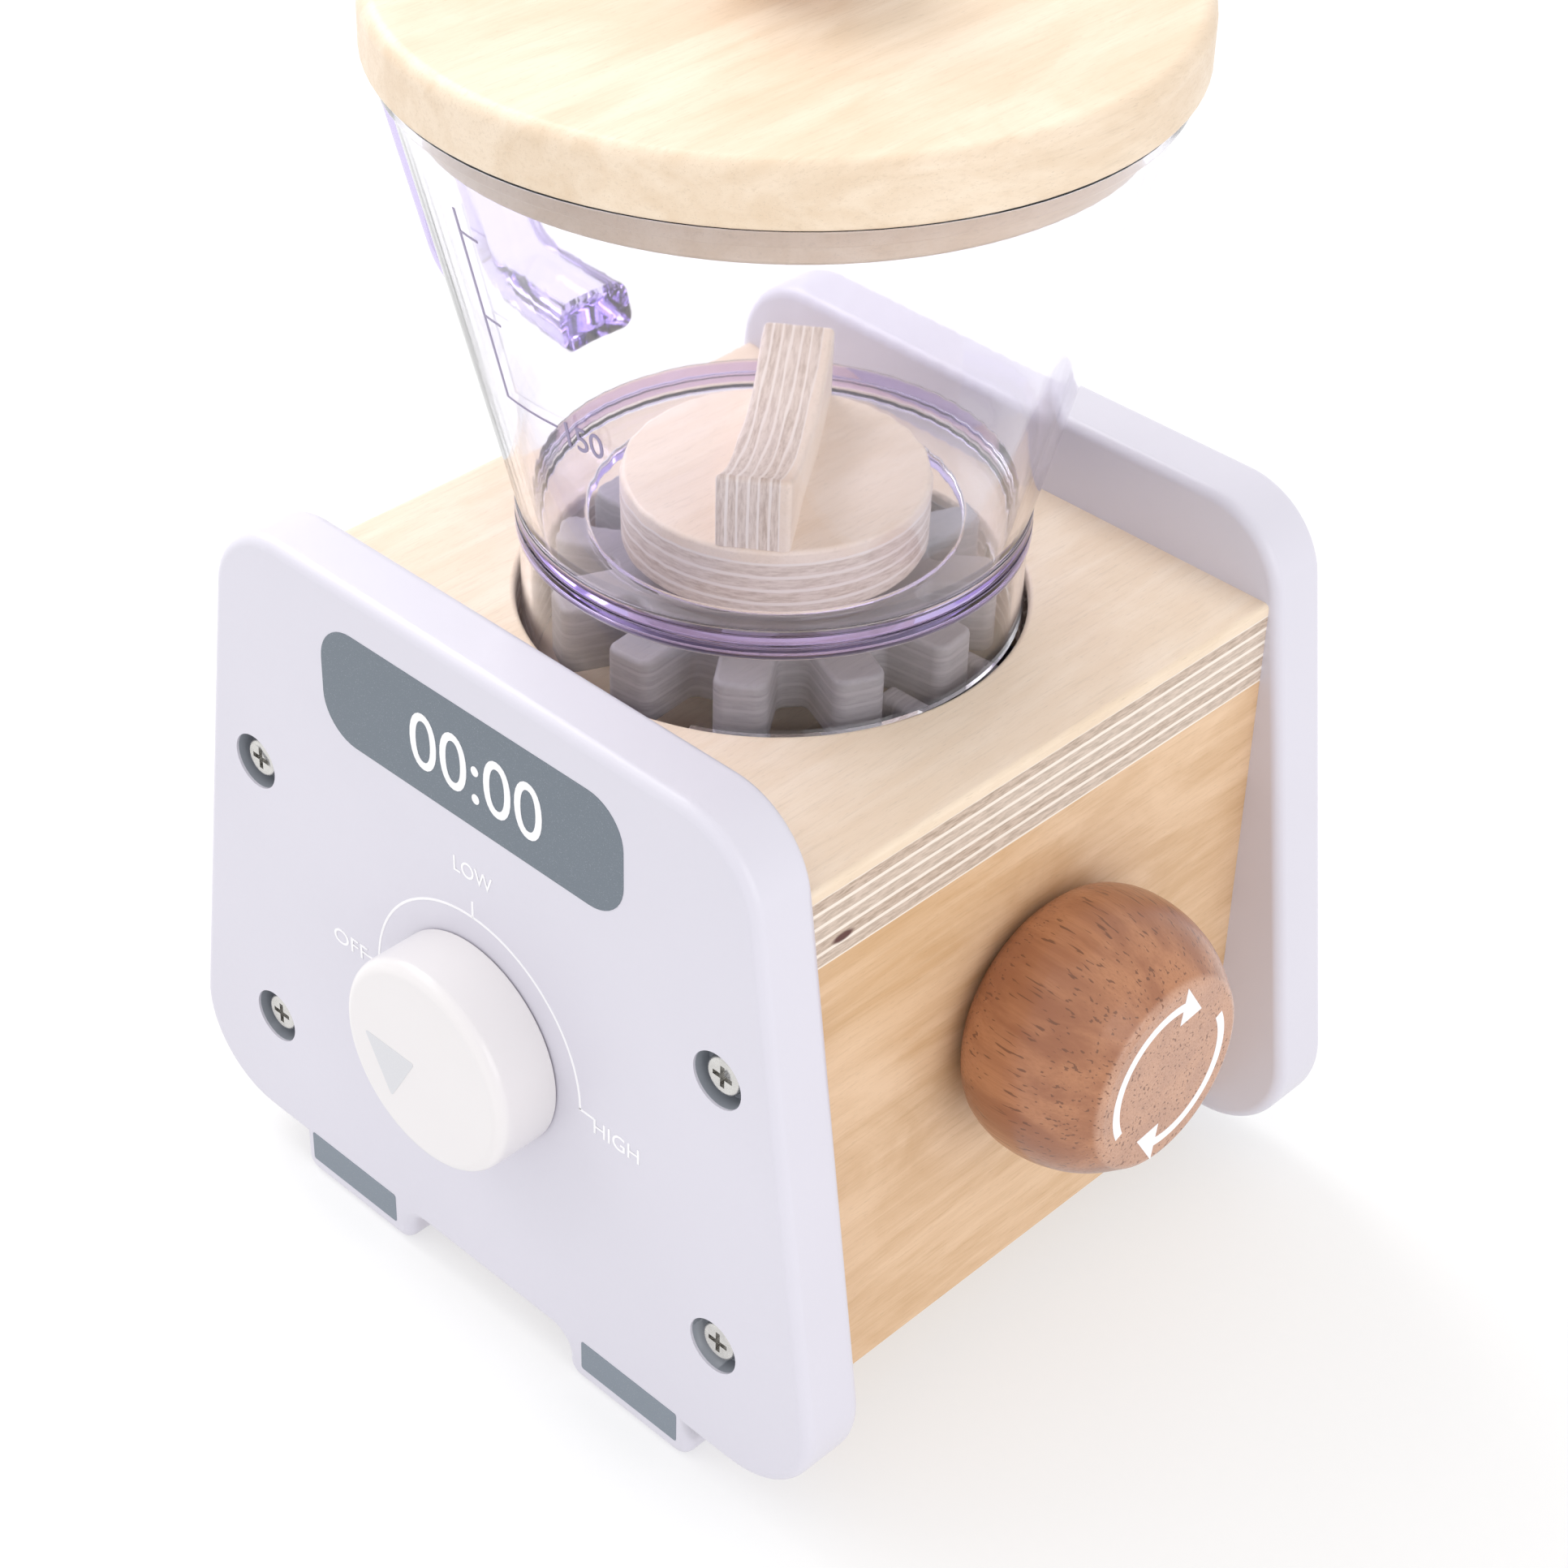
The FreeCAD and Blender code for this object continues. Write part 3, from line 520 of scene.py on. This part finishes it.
def lettering(name, words, width, height, thick, place):
    """Words as a closed mesh of a given width and height, each corner moved by place(x, y, z)."""
    curve = bpy.data.curves.new(name, "FONT")
    curve.body = words
    curve.extrude = 0.5
    curve.resolution_u = 6
    holder = bpy.data.objects.new(name + "_line", curve)
    bpy.context.scene.collection.objects.link(holder)
    mesh = bpy.data.meshes.new_from_object(holder.evaluated_get(bpy.context.evaluated_depsgraph_get()))
    work = bmesh.new()
    work.from_mesh(mesh)
    bpy.data.objects.remove(holder)
    bmesh.ops.remove_doubles(work, verts=work.verts, dist=1e-5)
    lows = [min(v.co[i] for v in work.verts) for i in range(3)]
    highs = [max(v.co[i] for v in work.verts) for i in range(3)]
    sizes = (width, height, thick)
    for v in work.verts:
        flat = [(v.co[i] - lows[i]) / (highs[i] - lows[i]) - 0.5 for i in range(3)]
        v.co = Vector(place(*(f * s for f, s in zip(flat, sizes)))) * mm
    bmesh.ops.recalc_face_normals(work, faces=work.faces)
    return work


# Prints on the front panel
def on_panel(x, z, height, width, words, name, rise=0.04):
    """Words printed on the front panel round a point."""
    work = lettering(name, words, width, height, 0.1,
                     lambda a, b, c: (x + a, panel_front - rise - c, z + b))
    piece_from(name, work, white_ink, "root")


def panel_slab(name, x0, z0, x1, z1, rise, finish, round_by=0.0):
    """A thin print on the front panel between two corners, a little sunk into it."""
    corners = [(x, panel_front + sunk, z) for x, z in ((x0, z0), (x1, z0), (x1, z1), (x0, z1))]
    slab(name, corners, (0, -sunk - rise, 0), finish, "root", round_by)


panel_slab("display_print", -34.3, 103.9, 34.3, 125.3, 0.06, display_ink, 7.5)
on_panel(1.8, 114.1, 10.6, 30.0, "00:00", "clock_digits", 0.09)
on_panel(-31.4, 61.3, 3.0, 8.6, "OFF", "word_off")
on_panel(0.4, 94.3, 3.0, 9.0, "LOW", "word_low")
on_panel(32.4, 60.0, 3.0, 10.2, "HIGH", "word_high")
arc_section = [(-line_half, sunk), (line_half, sunk), (line_half, -0.05), (-line_half, -0.05)]
swept("dial_arc", [(x - arc_radius, panel_front + y, dial_height) for x, y in arc_section],
      (0, panel_front, dial_height), (0, 1, 0), 180, white_ink, "root")
tick_start = arc_radius - line_half
tick_end = arc_radius + tick_reach
low, high = dial_height - line_half, dial_height + line_half
panel_slab("tick_off", -tick_end, low, -tick_start, high, 0.05, white_ink)
panel_slab("tick_high", tick_start, low, tick_end, high, 0.05, white_ink)
panel_slab("tick_low", -line_half, dial_height + tick_start, line_half, dial_height + tick_end, 0.05, white_ink)
for side, name in ((-1, "left"), (1, "right")):
    inner, outer = sorted((side * 23.6, side * 46.0))
    panel_slab("foot_print_" + name, inner, 3.2, outer, 9.4, 0.06, foot_ink, 0.5)

# Pointer on the dial
pointer_x, pointer_z, pointer_radius = -7.6, dial_height - 3.5, 7.0
corners = [(pointer_x + pointer_radius * math.cos(math.radians(a)), dial_face + sunk,
            pointer_z + pointer_radius * math.sin(math.radians(a))) for a in (150, 30, 270)]
slab("dial_pointer", corners, (0, -0.09, 0), pointer_ink, "dial", 0.8)

# Arrows on the crank knob
def on_knob(radius, degrees, out):
    """A point on the knob's face, or out from it, at a radius and an angle."""
    turn = math.radians(degrees)
    return (crank_face + out, axis_y + radius * math.cos(turn), crank_height + radius * math.sin(turn))


for start, name in ((205, "up"), (25, "down")):
    ring = [(12.0, -0.06), (13.6, -0.06), (13.6, 0.07), (12.0, 0.07)]
    swept("knob_arrow_" + name, [on_knob(r, start, out) for r, out in ring], on_knob(0, 0, 0), (1, 0, 0), -125,
          white_ink, "crank")
    tip = [(16.3, start - 124), (11.8, start - 149), (9.3, start - 124)]
    slab("knob_arrow_head_" + name, [on_knob(r, a, -0.06) for r, a in tip], (0.135, 0, 0), white_ink, "crank")


# Scale on the jug's cone
def on_cone(degrees, z, out):
    """A point on the cone's outside, or out from it, at an angle about the mixer and a height."""
    r = cone_radius + cone_slope * (z - ring_top) + out
    return (r * math.cos(math.radians(degrees)), axis_y + r * math.sin(math.radians(degrees)), z)


def cone_bar(name, corners, sweep=0.0):
    """A thin bar on the cone: corners as (angle, height, rise), swept round the mixer's axis if asked."""
    points = [on_cone(*corner) for corner in corners]
    if sweep:
        swept(name, points, (0, axis_y, 0), (0, 0, 1), sweep, scale_ink, "jug")
    else:
        angle = corners[0][0]
        slab(name, points, Vector(on_cone(angle, 0, 0.12)) - Vector(on_cone(angle, 0, 0)), scale_ink, "jug")


cone_bar("scale_line", [(a, z, -sunk) for a, z in ((-100.1, 168.8), (-99.5, 168.8), (-99.5, 202), (-100.1, 202))])
ticks = (("scale_base", 169.0, 13.3), ("scale_tick_low", 183.6, 4.5), ("scale_tick_high", 198.2, 4.5))
for name, z, sweep in ticks:
    section = ((z - 0.2, -sunk), (z - 0.2, 0.08), (z + 0.2, 0.08), (z + 0.2, -sunk))
    cone_bar(name, [(-99.8, height, out) for height, out in section], sweep)
number = lettering("scale_number", "150", 6.6, 4.6, 0.2,
                   lambda a, b, c: on_cone(-80.6 + math.degrees(a / 49), 168.4 + b, c + 0.06))
piece_from("scale_number", number, scale_ink, "jug")

# Floor, light and camera
floor_mesh = bpy.data.meshes.new("floor")
work = bmesh.new()
bmesh.ops.create_grid(work, x_segments=1, y_segments=1, size=4)
work.to_mesh(floor_mesh)
work.free()
floor = bpy.data.objects.new("floor", floor_mesh)
bpy.context.scene.collection.objects.link(floor)
m = material("floor_white")
grit = m.noise(m.place(), 0.4, 2)
matt = m.node("BsdfDiffuse", {}, {"Color": m.mix(grit, (0.9, 0.9, 0.905), (0.92, 0.92, 0.925))})
glow = m.node("Emission", {}, {"Color": (1, 1, 1), "Strength": 1.0})
m.node("OutputMaterial", {}, {"Surface": m.node("MixShader", {}, {0: m.seen() * 0.5, 1: matt, 2: glow})})
floor_mesh.materials.append(m.owner)

world = bpy.data.worlds.new("studio")
bpy.context.scene.world = world
w = Shader(world)
strength = w.seen() * 0.48 + 0.52
w.node("OutputWorld", {}, {"Surface": w.node("Background", {}, {"Color": (1, 1, 1), "Strength": strength})})


def lamp(name, place, aim, size, power):
    """A soft square area lamp."""
    light = bpy.data.lights.new(name, "AREA")
    light.size = size
    light.energy = power
    holder = bpy.data.objects.new(name, light)
    holder.location = place
    holder.rotation_euler = (Vector(aim) - Vector(place)).to_track_quat("-Z", "Y").to_euler()
    bpy.context.scene.collection.objects.link(holder)


lamp("key", (-0.75, -0.7, 1.1), (0, 0, 0.1), 0.7, 2.0)
lamp("side", (1.3, -0.2, 0.6), (0, 0, 0.08), 0.9, 4.2)
lamp("left", (-1.0, 0.1, 1.1), (0, 0, 0.1), 0.9, 11.0)

picture_pixels = 1932
focal_pixels = 4097.42
aim_height = 118
aside, above, distance = 2.13, -7.17, 538.66
azimuth, height, roll = math.radians(43.42), math.radians(34.54), math.radians(1.63)
back = Vector((math.sin(azimuth) * math.cos(height), -math.cos(azimuth) * math.cos(height), math.sin(height)))
right = Vector((math.cos(azimuth), math.sin(azimuth), 0))
upward = back.cross(right)
view = bpy.data.cameras.new("photo_view")
view.sensor_width = 36
view.lens = focal_pixels * view.sensor_width / picture_pixels
view.shift_y = -0.1
view.clip_start = 0.02
camera = bpy.data.objects.new("photo_view", view)
turn = Matrix((math.cos(roll) * right + math.sin(roll) * upward,
               -math.sin(roll) * right + math.cos(roll) * upward, back)).transposed().to_4x4()
spot = (Vector((0, axis_y, aim_height)) + aside * right + above * upward + distance * back) * mm
camera.matrix_world = Matrix.Translation(spot) @ turn
bpy.context.scene.collection.objects.link(camera)
bpy.context.scene.camera = camera
bpy.context.scene.view_settings.view_transform = "Standard"
